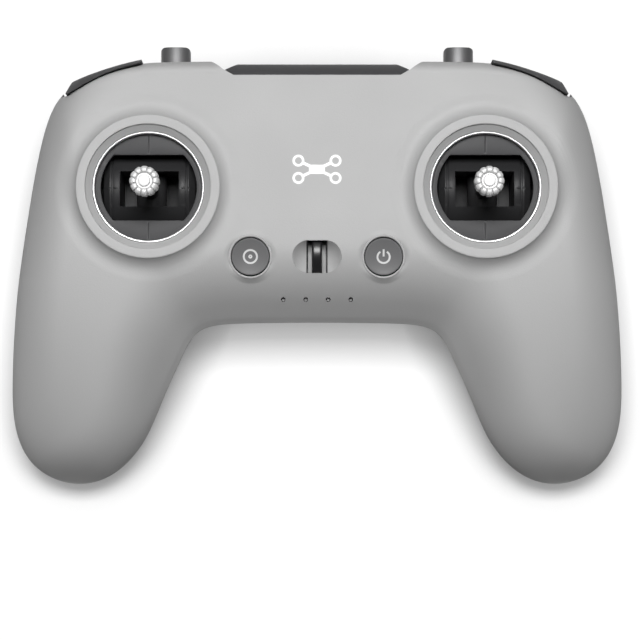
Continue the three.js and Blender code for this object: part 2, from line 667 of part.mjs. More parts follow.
const boardX = [-BOARD.halfWidth, BOARD.halfWidth];
addPart("main_board", block(boardX, BOARD.y, [BOARD.bottom, BOARD.top]), MATERIALS.board);
const can = cut(block([-15, 15], [16, 36], [27.9, 31]), block([-14.5, 14.5], [16.5, 35.5], [20, 30.5]));
addPart("radio_shield", can, MATERIALS.steel);
addPart("battery_pack", block([-23, 23], [6, 40], [13.5, 22.5]), MATERIALS.battery);
const tray = cut(block([-24.6, 24.6], [4.4, 41.6], [12, 18]), block([-23.3, 23.3], [5.7, 40.3], [13.2, 20]));
addPart("battery_tray", tray, MATERIALS.black);

const usbMouth = block([-4.1, 4.1], [-16, -8], [20.7, 23.1]);
const usbShell = cut(block([-4.5, 4.5], [-14.5, -7], [20.3, 23.5]), usbMouth);
addPart("usb_port", join(usbShell, block([-3.3, 3.3], [-13.5, -7.5], [21.6, 22.2])), MATERIALS.steel);
for (const [name, side] of SIDES) {
  const at = [side * SOCKET.x, SOCKET.z];
  const sleeve = cut(rod("y", SOCKET.outer, [-16, -2], at, 20), rod("y", SOCKET.inner, [-17, -3.5], at, 20));
  addPart(`${name}_stick_socket`, sleeve.intersect(bodyOutside), MATERIALS.black);
}

export default controller;
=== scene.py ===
import json
import math

import bmesh
import bpy
import numpy as np
from mathutils import Matrix, Vector
from mathutils.bvhtree import BVHTree


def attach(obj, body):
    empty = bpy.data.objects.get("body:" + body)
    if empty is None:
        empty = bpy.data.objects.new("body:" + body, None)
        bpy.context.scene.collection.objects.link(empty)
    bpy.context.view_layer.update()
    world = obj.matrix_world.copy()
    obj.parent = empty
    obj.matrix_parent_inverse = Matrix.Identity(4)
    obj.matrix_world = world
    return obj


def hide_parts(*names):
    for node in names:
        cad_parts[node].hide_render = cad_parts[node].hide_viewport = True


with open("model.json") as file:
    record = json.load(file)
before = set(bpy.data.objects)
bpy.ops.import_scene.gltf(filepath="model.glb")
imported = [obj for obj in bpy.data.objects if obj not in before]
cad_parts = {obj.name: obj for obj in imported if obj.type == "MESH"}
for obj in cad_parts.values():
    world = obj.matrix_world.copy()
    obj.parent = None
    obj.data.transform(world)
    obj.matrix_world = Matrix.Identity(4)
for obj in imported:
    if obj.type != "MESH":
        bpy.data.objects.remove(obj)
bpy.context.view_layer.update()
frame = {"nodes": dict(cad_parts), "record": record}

MM = 0.001
SIDES = (("left", -1), ("right", 1))

# --------------------------------------------------------------------------------------------------
# Dimensions in millimetres, in the row frame
# --------------------------------------------------------------------------------------------------

FACE_Z, PARTING_Z, GRIP_PARTING_Z = 45.0, 30.0, 11.0
BOTTOM_EDGE_Z = 15.0
WALL = 1.8
STICK_X, STICK_Y, PIVOT_Z = 44.5, 19.0, 30.0
RING_TOP_Z, RING_OUTER, RING_INNER, RING_SKIRT = 47.5, 19.05, 16.5, 25.0
BUTTON_X, BUTTON_Y, BUTTON_Z = 17.6, 0.7, 43.4
BUTTON_TILT = math.radians(15)
BUTTON_SKIRT = 7.2
LANYARD_Y, LANYARD_L, LANYARD_W = 0.7, 13.0, 8.5
LED_Y, LED_PITCH = -10.2, 6.0
DIAL_X, DIAL_Y = -56.5, 44.8
SHOULDER_X, SHOULDER_Y, SHOULDER_Z = 56.5, 50.6, 23.0
SHOULDER_SLOPE = math.radians(-16)
HUB_Y, HUB_Z, HUB_R = 51.4, 7.4, 5.8
TOGGLE_X, TOGGLE_Z, TOGGLE_HALF = 38.5, 24.2, 4.0
SOCKET_X, SOCKET_Z = 20.0, 21.0
LED_STEPS = (-1.5, -0.5, 0.5, 1.5)
SEAM = 0.12  # how far each shell stands back from the parting line

# --------------------------------------------------------------------------------------------------
# Camera, floor and light
# --------------------------------------------------------------------------------------------------

scene = bpy.context.scene
scene.view_settings.view_transform = "Standard"

CAMERA_AIM = Vector((0.0008, -0.0162, 0.0465))
CAMERA_TILT = math.radians(3.0)
CAMERA_DISTANCE = 0.68
camera = bpy.data.objects.new("camera", bpy.data.cameras.new("camera"))
scene.collection.objects.link(camera)
scene.camera = camera
camera.data.sensor_width = 36.0
camera.data.lens = 145.7
back = Vector((0.0, -math.sin(CAMERA_TILT), math.cos(CAMERA_TILT)))
camera.location = CAMERA_AIM + back * CAMERA_DISTANCE
camera.rotation_euler = (CAMERA_TILT, 0.0, 0.0)


def area_light(name, location, aim, size, power):
    data = bpy.data.lights.new(name, "AREA")
    data.shape = "RECTANGLE"
    data.size, data.size_y = size
    data.energy = power
    light = bpy.data.objects.new(name, data)
    light.location = location
    light.rotation_euler = (Vector(location) - Vector(aim)).to_track_quat("Z", "Y").to_euler()
    scene.collection.objects.link(light)


LIGHT_AIM = (0, 0, 0.03)
area_light("softbox_over", (0.0, 0.30, 1.2), LIGHT_AIM, (0.5, 0.4), 17.4)
area_light("fill_left", (-1.1, 0.0, 0.9), LIGHT_AIM, (0.6, 0.9), 0.3)
area_light("fill_right", (1.1, 0.0, 0.9), LIGHT_AIM, (0.6, 0.9), 0.3)
world = bpy.data.worlds.new("studio")
scene.world = world
world.use_nodes = True
world.node_tree.nodes["Background"].inputs["Color"].default_value = (1, 1, 1, 1)
world.node_tree.nodes["Background"].inputs["Strength"].default_value = 0.05

# --------------------------------------------------------------------------------------------------
# Materials
# --------------------------------------------------------------------------------------------------


def material(name, colour, rough, metallic=0.0, grain=0.25, bump=0.02, mottle=0.03, painted_edge_highlight=0.0):
    """A moulded or machined finish. grain is the size of its texture in mm, bump its strength, mottle how
    much the colour drifts over centimetres, and painted_edge_highlight how much lighter the exposed edges are
    painted, a painted highlight."""
    made = bpy.data.materials.new(name)
    made.use_nodes = True
    tree = made.node_tree
    nodes, links = tree.nodes, tree.links
    shader = nodes["Principled BSDF"]
    shader.inputs["Metallic"].default_value = metallic
    coords = nodes.new("ShaderNodeTexCoord")

    def noise(size_mm, detail):
        node = nodes.new("ShaderNodeTexNoise")
        node.inputs["Scale"].default_value = 1.0 / (size_mm * MM)
        node.inputs["Detail"].default_value = detail
        links.new(coords.outputs["Object"], node.inputs["Vector"])
        return node.outputs["Fac"]

    def ranged(value, low, high):
        node = nodes.new("ShaderNodeMapRange")
        node.inputs["From Min"].default_value = 0.3
        node.inputs["From Max"].default_value = 0.7
        node.inputs["To Min"].default_value = low
        node.inputs["To Max"].default_value = high
        links.new(value, node.inputs["Value"])
        return node.outputs["Result"]

    fine, broad = noise(grain, 3.0), noise(22.0, 4.0)
    shade = nodes.new("ShaderNodeMix")
    shade.data_type = "RGBA"
    shade.inputs["A"].default_value = (*[c * (1 - mottle) for c in colour], 1)
    shade.inputs["B"].default_value = (*[min(1, c * (1 + mottle)) for c in colour], 1)
    blend = nodes.new("ShaderNodeMath")
    blend.operation = "MULTIPLY_ADD"
    blend.inputs[1].default_value = 0.5
    links.new(fine, blend.inputs[0])
    half = nodes.new("ShaderNodeMath")
    half.operation = "MULTIPLY"
    half.inputs[1].default_value = 0.5
    links.new(broad, half.inputs[0])
    links.new(half.outputs[0], blend.inputs[2])
    links.new(ranged(blend.outputs[0], 0, 1), shade.inputs["Factor"])
    colour_out = shade.outputs["Result"]
    # painted highlight: sharp convex edges are painted lighter, in patches, as if they caught the light
    if painted_edge_highlight:
        geometry = nodes.new("ShaderNodeNewGeometry")
        edge = nodes.new("ShaderNodeMapRange")
        edge.inputs["From Min"].default_value = 0.53
        edge.inputs["From Max"].default_value = 0.62
        links.new(geometry.outputs["Pointiness"], edge.inputs["Value"])
        edge_highlight_mix = nodes.new("ShaderNodeMix")
        edge_highlight_mix.data_type = "RGBA"
        edge_highlight_mix.inputs["B"].default_value = (*[min(1, c + painted_edge_highlight) for c in colour], 1)
        amount = nodes.new("ShaderNodeMath")
        amount.operation = "MULTIPLY"
        links.new(edge.outputs["Result"], amount.inputs[0])
        links.new(broad, amount.inputs[1])
        links.new(amount.outputs[0], edge_highlight_mix.inputs["Factor"])
        links.new(colour_out, edge_highlight_mix.inputs["A"])
        colour_out = edge_highlight_mix.outputs["Result"]
    links.new(colour_out, shader.inputs["Base Color"])
    links.new(ranged(broad, rough - 0.05, rough + 0.05), shader.inputs["Roughness"])
    relief = nodes.new("ShaderNodeBump")
    relief.inputs["Strength"].default_value = 1.0
    relief.inputs["Distance"].default_value = bump * MM
    links.new(fine, relief.inputs["Height"])
    links.new(relief.outputs["Normal"], shader.inputs["Normal"])
    return made


MAT = {
    "shell": material("moulded_grey", (0.405, 0.405, 0.405), 0.6, grain=0.35, bump=0.035, mottle=0.012),
    "bezel": material("bezel_grey", (0.4, 0.4, 0.4), 0.5, grain=0.3, bump=0.02, mottle=0.015),
    "trim": material("bright_trim", (0.62, 0.62, 0.62), 0.42, metallic=1.0,
                     grain=0.5, bump=0.004, mottle=0.01),
    # the dark and black plastics get a painted highlight along their exposed edges
    "dark": material("dark_plastic", (0.052, 0.052, 0.054), 0.55,
                     grain=0.3, bump=0.03, mottle=0.05, painted_edge_highlight=0.05),
    "toggle": material("satin_grey", (0.1, 0.1, 0.102), 0.42, metallic=0.35,
                       grain=0.3, bump=0.01, mottle=0.03),
    "black": material("black_plastic", (0.022, 0.022, 0.023), 0.42,
                      grain=0.35, bump=0.02, mottle=0.08, painted_edge_highlight=0.03),
    "gloss_black": material("gloss_black", (0.012, 0.012, 0.013), 0.34, grain=0.8, bump=0.002, mottle=0.05),
    "button": material("button_grey", (0.14, 0.14, 0.142), 0.42, grain=0.25, bump=0.01, mottle=0.03),
    "stick": material("turned_aluminium", (0.62, 0.62, 0.62), 0.55, metallic=0.3,
                      grain=0.3, bump=0.006, mottle=0.03),
    "steel": material("steel", (0.6, 0.6, 0.61), 0.3, metallic=1.0, grain=0.25, bump=0.01, mottle=0.06),
    "board": material("solder_mask", (0.015, 0.09, 0.045), 0.35, grain=1.2, bump=0.02, mottle=0.15),
    "battery": material("film_wrap", (0.03, 0.035, 0.06), 0.4, grain=3.0, bump=0.05, mottle=0.1),
    "light_guide": material("light_guide", (0.75, 0.78, 0.8), 0.2, grain=0.6, bump=0.004, mottle=0.03),
    "print": material("white_print", (0.9, 0.9, 0.9), 0.5, grain=0.2, bump=0.004, mottle=0.02),
    "icon": material("grey_print", (0.62, 0.62, 0.62), 0.5, grain=0.2, bump=0.004, mottle=0.02),
    "floor": material("floor", (0.5, 0.5, 0.5), 0.9, grain=2.0, bump=0.0, mottle=0.004),
}
for slot, level in (("black", 0.16), ("dark", 0.22), ("shell", 0.4)):
    MAT[slot].node_tree.nodes["Principled BSDF"].inputs["Specular IOR Level"].default_value = level

# --------------------------------------------------------------------------------------------------
# Mesh helpers
# --------------------------------------------------------------------------------------------------


def add_object(name, mesh_or_bm, mat, body="casing", replaces=(), sharp=35.0):
    if isinstance(mesh_or_bm, bmesh.types.BMesh):
        mesh = to_mesh(mesh_or_bm)
    else:
        mesh = mesh_or_bm
    mesh.name = name
    mesh.materials.clear()
    mesh.materials.append(MAT[mat])
    obj = bpy.data.objects.new(name, mesh)
    scene.collection.objects.link(obj)
    mesh.shade_smooth()
    mesh.set_sharp_from_angle(angle=math.radians(sharp))
    if body:
        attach(obj, body)
    if replaces:
        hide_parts(*replaces)
    return obj


def to_mesh(bm):
    mesh = bpy.data.meshes.new("solid")
    bm.to_mesh(mesh)
    bm.free()
    return mesh


def bm_from(mesh):
    bm = bmesh.new()
    bm.from_mesh(mesh)
    return bm


def bm_of(verts_mm, faces):
    bm = bmesh.new()
    made = [bm.verts.new(tuple(float(c) * MM for c in v)) for v in verts_mm]
    for face in faces:
        try:
            bm.faces.new([made[i] for i in face])
        except ValueError:
            pass
    bmesh.ops.recalc_face_normals(bm, faces=bm.faces)
    return bm


def rounded(points, radii, steps=5):
    """A closed polyline with its corners turned into arcs. radii is one number or one per corner."""
    points = [np.array(p, float) for p in points]
    if not hasattr(radii, "__len__"):
        radii = [radii] * len(points)
    out = []
    for i, p in enumerate(points):
        before, after, radius = points[i - 1], points[(i + 1) % len(points)], radii[i]
        a, b = before - p, after - p
        la, lb = np.linalg.norm(a), np.linalg.norm(b)
        a, b = a / la, b / lb
        angle = math.acos(max(-1.0, min(1.0, float(a @ b))))
        if radius <= 0 or angle > math.pi - 0.02:
            out.append(tuple(p))
            continue
        reach = min(radius / math.tan(angle / 2), 0.49 * la, 0.49 * lb)
        radius = reach * math.tan(angle / 2)
        centre = p + (a + b) / np.linalg.norm(a + b) * (radius / math.sin(angle / 2))
        start, end = p + a * reach - centre, p + b * reach - centre
        turn = math.atan2(start[0] * end[1] - start[1] * end[0], float(start @ end))
        for k in range(steps + 1):
            t = turn * k / steps
            c, s = math.cos(t), math.sin(t)
            out.append((centre[0] + start[0] * c - start[1] * s, centre[1] + start[0] * s + start[1] * c))
    return out


def lathe(profile, segments=96, centre=(0, 0), closed=True):
    """A profile of (radius, z) points turned about a vertical axis. Points on the axis become one vertex."""
    verts, rows = [], []
    for r, z in profile:
        if abs(r) < 1e-6:
            rows.append([len(verts)])
            verts.append((centre[0], centre[1], z))
        else:
            rows.append(list(range(len(verts), len(verts) + segments)))
            for k in range(segments):
                a = 2 * math.pi * k / segments
                verts.append((centre[0] + r * math.cos(a), centre[1] + r * math.sin(a), z))
    faces = []
    for low, high in zip(rows, rows[1:] + (rows[:1] if closed else [])):
        if len(low) == 1 and len(high) == 1:
            continue
        for k in range(segments):
            j = (k + 1) % segments
            if len(low) == 1:
                faces.append((low[0], high[j], high[k]))
            elif len(high) == 1:
                faces.append((low[k], low[j], high[0]))
            else:
                faces.append((low[k], low[j], high[j], high[k]))
    return verts, faces


def prism(outline, z0, z1):
    n = len(outline)
    verts = [(x, y, z0) for x, y in outline] + [(x, y, z1) for x, y in outline]
    faces = [tuple(range(n))[::-1], tuple(range(n, 2 * n))]
    faces += [(i, (i + 1) % n, n + (i + 1) % n, n + i) for i in range(n)]
    return verts, faces


def prism_along_y(outline, y0, y1):
    """A prism over an outline of (x, z) points."""
    verts, faces = prism(outline, y0, y1)
    return bm_of([(x, z, y) for x, y, z in verts], faces)


def band_faces(rings, around, closed=False):
    """The four-sided faces between neighbouring rings of vertices."""
    faces = []
    for i in range(rings if closed else rings - 1):
        a, b = i * around, (i + 1) % rings * around
        for k in range(around):
            j = (k + 1) % around
            faces.append((a + k, a + j, b + j, b + k))
    return faces


def transform_bm(bm, matrix):
    bmesh.ops.transform(bm, matrix=matrix, verts=bm.verts)
    return bm


def join_bms(*bms):
    out = bmesh.new()
    for bm in bms:
        mesh = to_mesh(bm)
        out.from_mesh(mesh)
        bpy.data.meshes.remove(mesh)
    return out


def bevel_sharp(bm, width_mm, segments=2, angle=30.0):
    """Rounds the edges that are sharper than an angle."""
    bmesh.ops.remove_doubles(bm, verts=bm.verts, dist=1e-6)
    bmesh.ops.recalc_face_normals(bm, faces=bm.faces)
    edges = [e for e in bm.edges if len(e.link_faces) == 2 and e.calc_face_angle() > math.radians(angle)]
    bmesh.ops.bevel(bm, geom=edges, offset=width_mm * MM, segments=segments, profile=0.5, affect="EDGES",
                    clamp_overlap=True)
    return bm


def boolean(mesh, cutter_bm, operation="DIFFERENCE"):
    """mesh with a closed cutter taken away, added or kept in common, as a new mesh."""
    bmesh.ops.recalc_face_normals(cutter_bm, faces=cutter_bm.faces)
    cutter_mesh = to_mesh(cutter_bm)
    cutter = bpy.data.objects.new("cutter", cutter_mesh)
    base = bpy.data.objects.new("base", mesh)
    scene.collection.objects.link(cutter)
    scene.collection.objects.link(base)
    step = base.modifiers.new("cut", "BOOLEAN")
    step.operation, step.object, step.solver = operation, cutter, "MANIFOLD"
    graph = bpy.context.evaluated_depsgraph_get()
    result = bpy.data.meshes.new_from_object(base.evaluated_get(graph))
    bpy.data.objects.remove(base)
    bpy.data.objects.remove(cutter)
    bpy.data.meshes.remove(cutter_mesh)
    return result


# --------------------------------------------------------------------------------------------------
# Casing surface
# --------------------------------------------------------------------------------------------------

# (outer x, outer y, inner x, inner y) of lines across the right half of the body, from its middle to the grip
SECTION_LINES = [
    (0, 54, 0, -15.9), (20, 54, 12, -16), (37, 53.9, 22, -16.2), (48, 53.3, 28, -16.8),
    (57.5, 51.3, 32, -18.4), (65, 48.3, 34.7, -21.5), (70.6, 42.8, 36.8, -25.5), (74.8, 30, 39.2, -30.5),
    (77.9, 12, 41.8, -36.2), (80.7, -9, 44.3, -42), (82.5, -30.5, 47, -47.3), (82, -45.5, 51.2, -52.8),
    (76.8, -55.2, 57.3, -57.5),
]
GRIP_TIP = (66.4, -59.5)
TIP = len(SECTION_LINES)

right = [(a, b) for a, b, _, _ in SECTION_LINES] + [GRIP_TIP] + [(c, d) for _, _, c, d in SECTION_LINES][::-1]
left = [(-x, y) for x, y in right[1:-1]][::-1]
EDGE_POINTS = np.array(right + left, float)
COUNT = len(EDGE_POINTS)


def periodic_spline(knots, values, period):
    """A closed C2 cubic through values at knots. Returns a function of the parameter."""
    n = len(knots)
    h = np.diff(np.append(knots, knots[0] + period))
    a = np.zeros((n, n))
    rhs = np.zeros((n, values.shape[1]))
    for i in range(n):
        before, after = h[i - 1], h[i]
        a[i, i - 1] += before
        a[i, i] += 2 * (before + after)
        a[i, (i + 1) % n] += after
        rhs[i] = 6 * ((values[(i + 1) % n] - values[i]) / after - (values[i] - values[i - 1]) / before)
    bend = np.linalg.solve(a, rhs)

    def at(t):
        t = np.mod(np.asarray(t, float), period)
        i = np.clip(np.searchsorted(knots, t, side="right") - 1, 0, n - 1)
        j = (i + 1) % n
        u = (t - knots[i])[:, None]
        w = h[i][:, None]
        v = w - u
        return (bend[i] * v**3 + bend[j] * u**3) / (6 * w) + (values[i] / w - bend[i] * w / 6) * v + (
            values[j] / w - bend[j] * w / 6
        ) * u

    return at


chord_steps = np.linalg.norm(np.roll(EDGE_POINTS, -1, 0) - EDGE_POINTS, axis=1) ** 0.5
chord = np.concatenate([[0], np.cumsum(chord_steps)])
edge_curve = periodic_spline(chord[:-1], EDGE_POINTS, chord[-1])
index = np.arange(COUNT, dtype=float)
drift = chord[-1] / COUNT
progress = periodic_spline(index, (chord[:-1] - index * drift)[:, None], COUNT)


def edge_at(section):
    """Points of the outline, at the section lines' outer ends from 0 on and then at their inner ends."""
    section = np.asarray(section, float)
    return edge_curve(progress(section)[:, 0] + section * drift)


def smooth(x, low, high):
    t = np.clip((x - low) / (high - low), 0, 1)
    return t * t * (3 - 2 * t)


def parting_z(y):
    return PARTING_Z - (PARTING_Z - GRIP_PARTING_Z) * (np.maximum(0, -5 - y) / 54.5) ** 1.4


def front_crest(y):
    return FACE_Z - (130 - np.sqrt(130**2 - np.maximum(0, 12 - y) ** 2))


def rear_crest(y, section):
    centre = 1 - smooth(section, 3, 7)
    return centre * BOTTOM_EDGE_Z * smooth(16 - y, 0, 33) + 5 * (np.maximum(0, -40 - y) / 19.5) ** 2


def quarter(d, width):
    return np.sqrt(np.maximum(0, 1 - (1 - np.minimum(d / width, 1)) ** 2))


def parabola(d, width):
    return 1 - (1 - np.minimum(d / width, 1)) ** 2


def soft_min(a, b, k):
    h = np.clip(0.5 + 0.5 * (b - a) / k, 0, 1)
    return b + (a - b) * h - k * h * (1 - h)


def rise(d, width, power):
    return parabola(d, width) ** (1 / power)


def front_height(outer, inner, section):
    """The share of the crest's height at a depth inside the outer edge and the inner one."""
    side, grip = smooth(section, 3.2, 6.5), smooth(section, 7, 11)
    top_edge = quarter(outer, 4)
    outer_rise = top_edge + (rise(outer, 13, 1.35) - top_edge) * side
    outer_rise = outer_rise + (rise(outer, 30, 1.6) - outer_rise) * grip
    centre_rise = np.minimum(soft_min(0.03 + 0.08 * inner, 1.0, 0.6), 1.0) * quarter(inner, 1.5)
    inner_rise = centre_rise + (rise(inner, 16, 1.6) - centre_rise) * grip
    return outer_rise * inner_rise


def rear_height(share, length, section):
    outer, inner = (1 - share) * length, share * length
    side, grip = smooth(section, 3.2, 6.5), smooth(section, 7, 11)
    outer_rise = quarter(outer, 8 + 6 * side + 6 * grip)
    inner_rise = quarter(inner, 5 + 11 * side + 4 * grip)
    return outer_rise * inner_rise


ACROSS = 72


def section_values():
    """Sections from one grip tip to the other, closer together at the tips."""
    half = list(np.arange(0, TIP - 1, 0.1))
    half += [TIP - 1 + (1 - (1 - u) ** 2) for u in np.linspace(0, 0.965, 18)]
    return np.array([-s for s in half[:0:-1]] + half)


def surface_grid(front):
    """Rows of points from the inner edge to the outer one, one row for each section."""
    sections = section_values()
    size = np.abs(sections)
    outer = edge_at(size)
    inner = edge_at(2 * TIP - size)
    length = np.linalg.norm(outer - inner, axis=1)[:, None]
    share = ((1 - np.cos(np.linspace(0, math.pi, ACROSS + 1))) / 2)[None, :]
    xy = inner[:, None, :] + (outer - inner)[:, None, :] * share[:, :, None]
    x = xy[:, :, 0] * np.where(sections < 0, -1, 1)[:, None]
    y = xy[:, :, 1]
    level = parting_z(y)
    if front:
        direction = (inner - outer) / length
        depth = []
        for at, middle in ((size, outer), (2 * TIP - size, inner)):
            tangent = edge_at(at + 0.01) - edge_at(at - 0.01)
            tangent /= np.linalg.norm(tangent, axis=1, keepdims=True)
            depth.append(np.abs(tangent[:, :1] * direction[:, 1:] - tangent[:, 1:] * direction[:, :1]))
        outer_depth, inner_depth = (1 - share) * length * depth[0], share * length * depth[1]
        z = level + (front_crest(y) - level) * front_height(outer_depth, inner_depth, size[:, None])
    else:
        z = level + (rear_crest(y, size[:, None]) - level) * rear_height(share, length, size[:, None])
    return np.stack([x, y, z], axis=2)


def grid_normals(grid, up):
    """Unit normals of a grid, which point up (1) or down (-1) at its middle."""
    normal = np.cross(np.gradient(grid, axis=0), np.gradient(grid, axis=1))
    normal = normal / np.maximum(np.linalg.norm(normal, axis=2, keepdims=True), 1e-9)
    return -normal if normal[len(grid) // 2, ACROSS // 2, 2] * up < 0 else normal


def shell_mesh(front, seam_drop):
    """A closed shell: the outer surface, the same surface moved inwards, and a wall at the parting line."""
    outer = surface_grid(front)
    up = 1 if front else -1
    normals = grid_normals(outer, up)
    rows, columns = outer.shape[:2]
    # the parting edge stands back from the seam
    fade = np.exp(-np.abs(outer[:, :, 2] - parting_z(outer[:, :, 1])) / 0.5)
    outer[:, :, 2] += up * seam_drop * fade
    inner = outer - normals * WALL
    level = parting_z(inner[:, :, 1]) + up * seam_drop
    inner[:, :, 2] = np.maximum(inner[:, :, 2], level) if front else np.minimum(inner[:, :, 2], level)
    n = rows * columns
    tip_z = parting_z(np.array(GRIP_TIP[1])) + up * seam_drop
    tips = [(sign * GRIP_TIP[0], GRIP_TIP[1] + wall, tip_z) for sign in (-1, 1) for wall in (0, WALL)]
    verts = np.concatenate([outer.reshape(-1, 3), inner.reshape(-1, 3), np.array(tips, float)])
    faces = []

    def at(layer, i, j):
        return layer * n + i * columns + j

    ends = ((0, 0), (1, rows - 1))
    for layer in (0, 1):
        flip = (layer == 1) != (not front)
        for i in range(rows - 1):
            for j in range(columns - 1):
                quad = (at(layer, i, j), at(layer, i + 1, j), at(layer, i + 1, j + 1), at(layer, i, j + 1))
                faces.append(quad[::-1] if flip else quad)
        for end, i in ends:
            pole = 2 * n + end * 2 + layer
            for j in range(columns - 1):
                tri = (at(layer, i, j), pole, at(layer, i, j + 1))
                faces.append(tri[::-1] if flip != (end == 0) else tri)
    for j in (0, columns - 1):
        for i in range(rows - 1):
            quad = (at(0, i, j), at(1, i, j), at(1, i + 1, j), at(0, i + 1, j))
            faces.append(quad if (j == 0) == front else quad[::-1])
        for end, i in ends:
            faces.append((at(0, i, j), 2 * n + end * 2, 2 * n + end * 2 + 1, at(1, i, j)))
    bm = bm_of(verts, faces)
    bmesh.ops.remove_doubles(bm, verts=bm.verts, dist=1e-7)
    bmesh.ops.recalc_face_normals(bm, faces=bm.faces)
    return to_mesh(bm)


probe_bm = bm_from(shell_mesh(True, 0.1))
FRONT_PROBE = BVHTree.FromBMesh(probe_bm)
probe_bm.free()


def face_height(x, y):
    """Height of the front surface, in mm."""
    hit = FRONT_PROBE.ray_cast(Vector((x * MM, y * MM, 0.1)), Vector((0, 0, -1)))
    return hit[0].z / MM

# --------------------------------------------------------------------------------------------------
# Casing shells
# --------------------------------------------------------------------------------------------------


def closed_body(offset=0.0):
    """The whole body as one closed surface, moved outwards by a distance."""
    front, rear = surface_grid(True), surface_grid(False)
    layers = []
    for grid, up in ((front, 1), (rear, -1)):
        layers.append((grid, grid_normals(grid, up)))
    for j in (0, ACROSS):
        mean = layers[0][1][:, j] + layers[1][1][:, j]
        mean /= np.maximum(np.linalg.norm(mean, axis=1, keepdims=True), 1e-9)
        layers[0][1][:, j] = mean
        layers[1][1][:, j] = mean
    front, rear = [grid + normals * offset for grid, normals in layers]
    around = np.concatenate([front, rear[:, -2:0:-1]], axis=1)
    rows, columns = around.shape[:2]
    verts = list(around.reshape(-1, 3))
    z = float(parting_z(np.array(GRIP_TIP[1])))
    verts += [(-GRIP_TIP[0], GRIP_TIP[1] - offset, z), (GRIP_TIP[0], GRIP_TIP[1] - offset, z)]
    faces = []
    for i in range(rows - 1):
        for j in range(columns):
            k = (j + 1) % columns
            faces.append((i * columns + j, (i + 1) * columns + j, (i + 1) * columns + k, i * columns + k))
    for pole, i in ((rows * columns, 0), (rows * columns + 1, rows - 1)):
        for j in range(columns):
            faces.append((i * columns + j, i * columns + (j + 1) % columns, pole))
    return bm_of(verts, faces)


def block(x, y, z):
    return bm_of(*prism([(x[0], y[0]), (x[1], y[0]), (x[1], y[1]), (x[0], y[1])], z[0], z[1]))


def disc(radius, z0, z1, centre=(0, 0), segments=96):
    return bm_of(*lathe([(0, z0), (radius, z0), (radius, z1), (0, z1)], segments, centre, closed=False))


def stadium(cx, cy, length, width, steps=20):
    reach, r = (length - width) / 2, width / 2
    out = []
    for k in range(steps + 1):
        a = -math.pi / 2 + math.pi * k / steps
        out.append((cx + reach + r * math.cos(a), cy + r * math.sin(a)))
    for k in range(steps + 1):
        a = math.pi / 2 + math.pi * k / steps
        out.append((cx - reach + r * math.cos(a), cy + r * math.sin(a)))
    return out


def rod_along(axis, radius, start, end, at, segments=48):
    """A cylinder along X or Y, from start to end, with its centre line at the other two coordinates."""
    verts, faces = lathe([(0, start), (radius, start), (radius, end), (0, end)], segments, closed=False)
    if axis == "x":
        verts = [(z, at[0] + x, at[1] + y) for x, y, z in verts]
    else:
        verts = [(at[0] + x, z, at[1] + y) for x, y, z in verts]
    return bm_of(verts, faces)


# the right edge of the antenna's notch in the top edge, seen from the front
NOTCH = [(22.1, 48.8), (24.9, 50.4), (28.6, 53.6), (30, 60)]


def antenna_space(grow):
    """The room that the antenna folds and lies in, made larger all round by a distance."""
    right_side = []
    for i, (x, y) in enumerate(NOTCH):
        right_side.append((x + (grow if i else grow * 0.4), y - (grow if i < 2 else 0)))
    notch = right_side + [(-x, y) for x, y in right_side[::-1]]
    half, hub_low = 26.8 + grow, HUB_Y - HUB_R - 0.6 - grow
    made = to_mesh(bm_of(*prism(rounded(notch, [0.8] * 3 + [0, 0] + [0.8] * 3), -5, 60)))
    made = boolean(made, block((-half, half), (hub_low, 60), (-5, HUB_Z + HUB_R + 0.6 + grow)), "UNION")
    return boolean(made, block((-half, half), (15.3 - grow, 60), (-5, HUB_Z - 0.1 + grow)), "UNION")


def shoulder_plan(side, grow):
    """The shoulder panel's outline seen from the front."""
    points = [(46.6 - grow, 62), (46.6 - grow, 52.2 - grow), (56.5, 49.3 - grow), (66.2, 44.4 - grow),
              (68.2 + grow, 44.4 - grow), (68.2 + grow, 62)]
    points = rounded(points, [0, 0.5, 40, 0.8, 0.5, 0], steps=8)
    return [(side * x, y) for x, y in points]


SHOULDER_PLACE = Matrix.Translation(Vector((SHOULDER_X, SHOULDER_Y, SHOULDER_Z)) * MM) @ Matrix.Rotation(
    SHOULDER_SLOPE, 4, "Z"
)


def shoulder_hole(side):
    if side < 0:
        return block((DIAL_X - 7.3, DIAL_X + 7.3), (38, 60), (18.7, 27.3))
    bm = rod_along("y", 4.5, -10, 10, (0, 0))
    return transform_bm(bm, SHOULDER_PLACE)


def toggle_slot(side):
    x0, x1 = side * TOGGLE_X - 4.4, side * TOGGLE_X + 4.4
    return prism_along_y(rounded([(x0, 18.8), (x1, 18.8), (x1, 29.2), (x0, 29.2)], 1.2), 48, 60)


# (x, y, z of the seat) of the case screws on one side
SCREWS = [(67, 28, 6), (35, -8, 12), (64, -38, 6)]
SPACE, SPACE_GROWN = antenna_space(0), antenna_space(WALL)


def common_cuts():
    cuts = []
    for _, side in SIDES:
        cuts.append(bm_of(*prism(shoulder_plan(side, 0.25), 14.7, 60)))
        cuts.append(toggle_slot(side))
    return cuts


def lined(mesh, z_range):
    """The shell with the antenna's room cut out of it and walled off from the inside."""
    mesh = boolean(mesh, bm_from(SPACE))
    liner = boolean(to_mesh(closed_body()), bm_from(SPACE_GROWN), "INTERSECT")
    liner = boolean(liner, block((-60, 60), (0, 70), z_range), "INTERSECT")
    liner = boolean(liner, bm_from(SPACE))
    return boolean(mesh, bm_from(liner), "UNION")


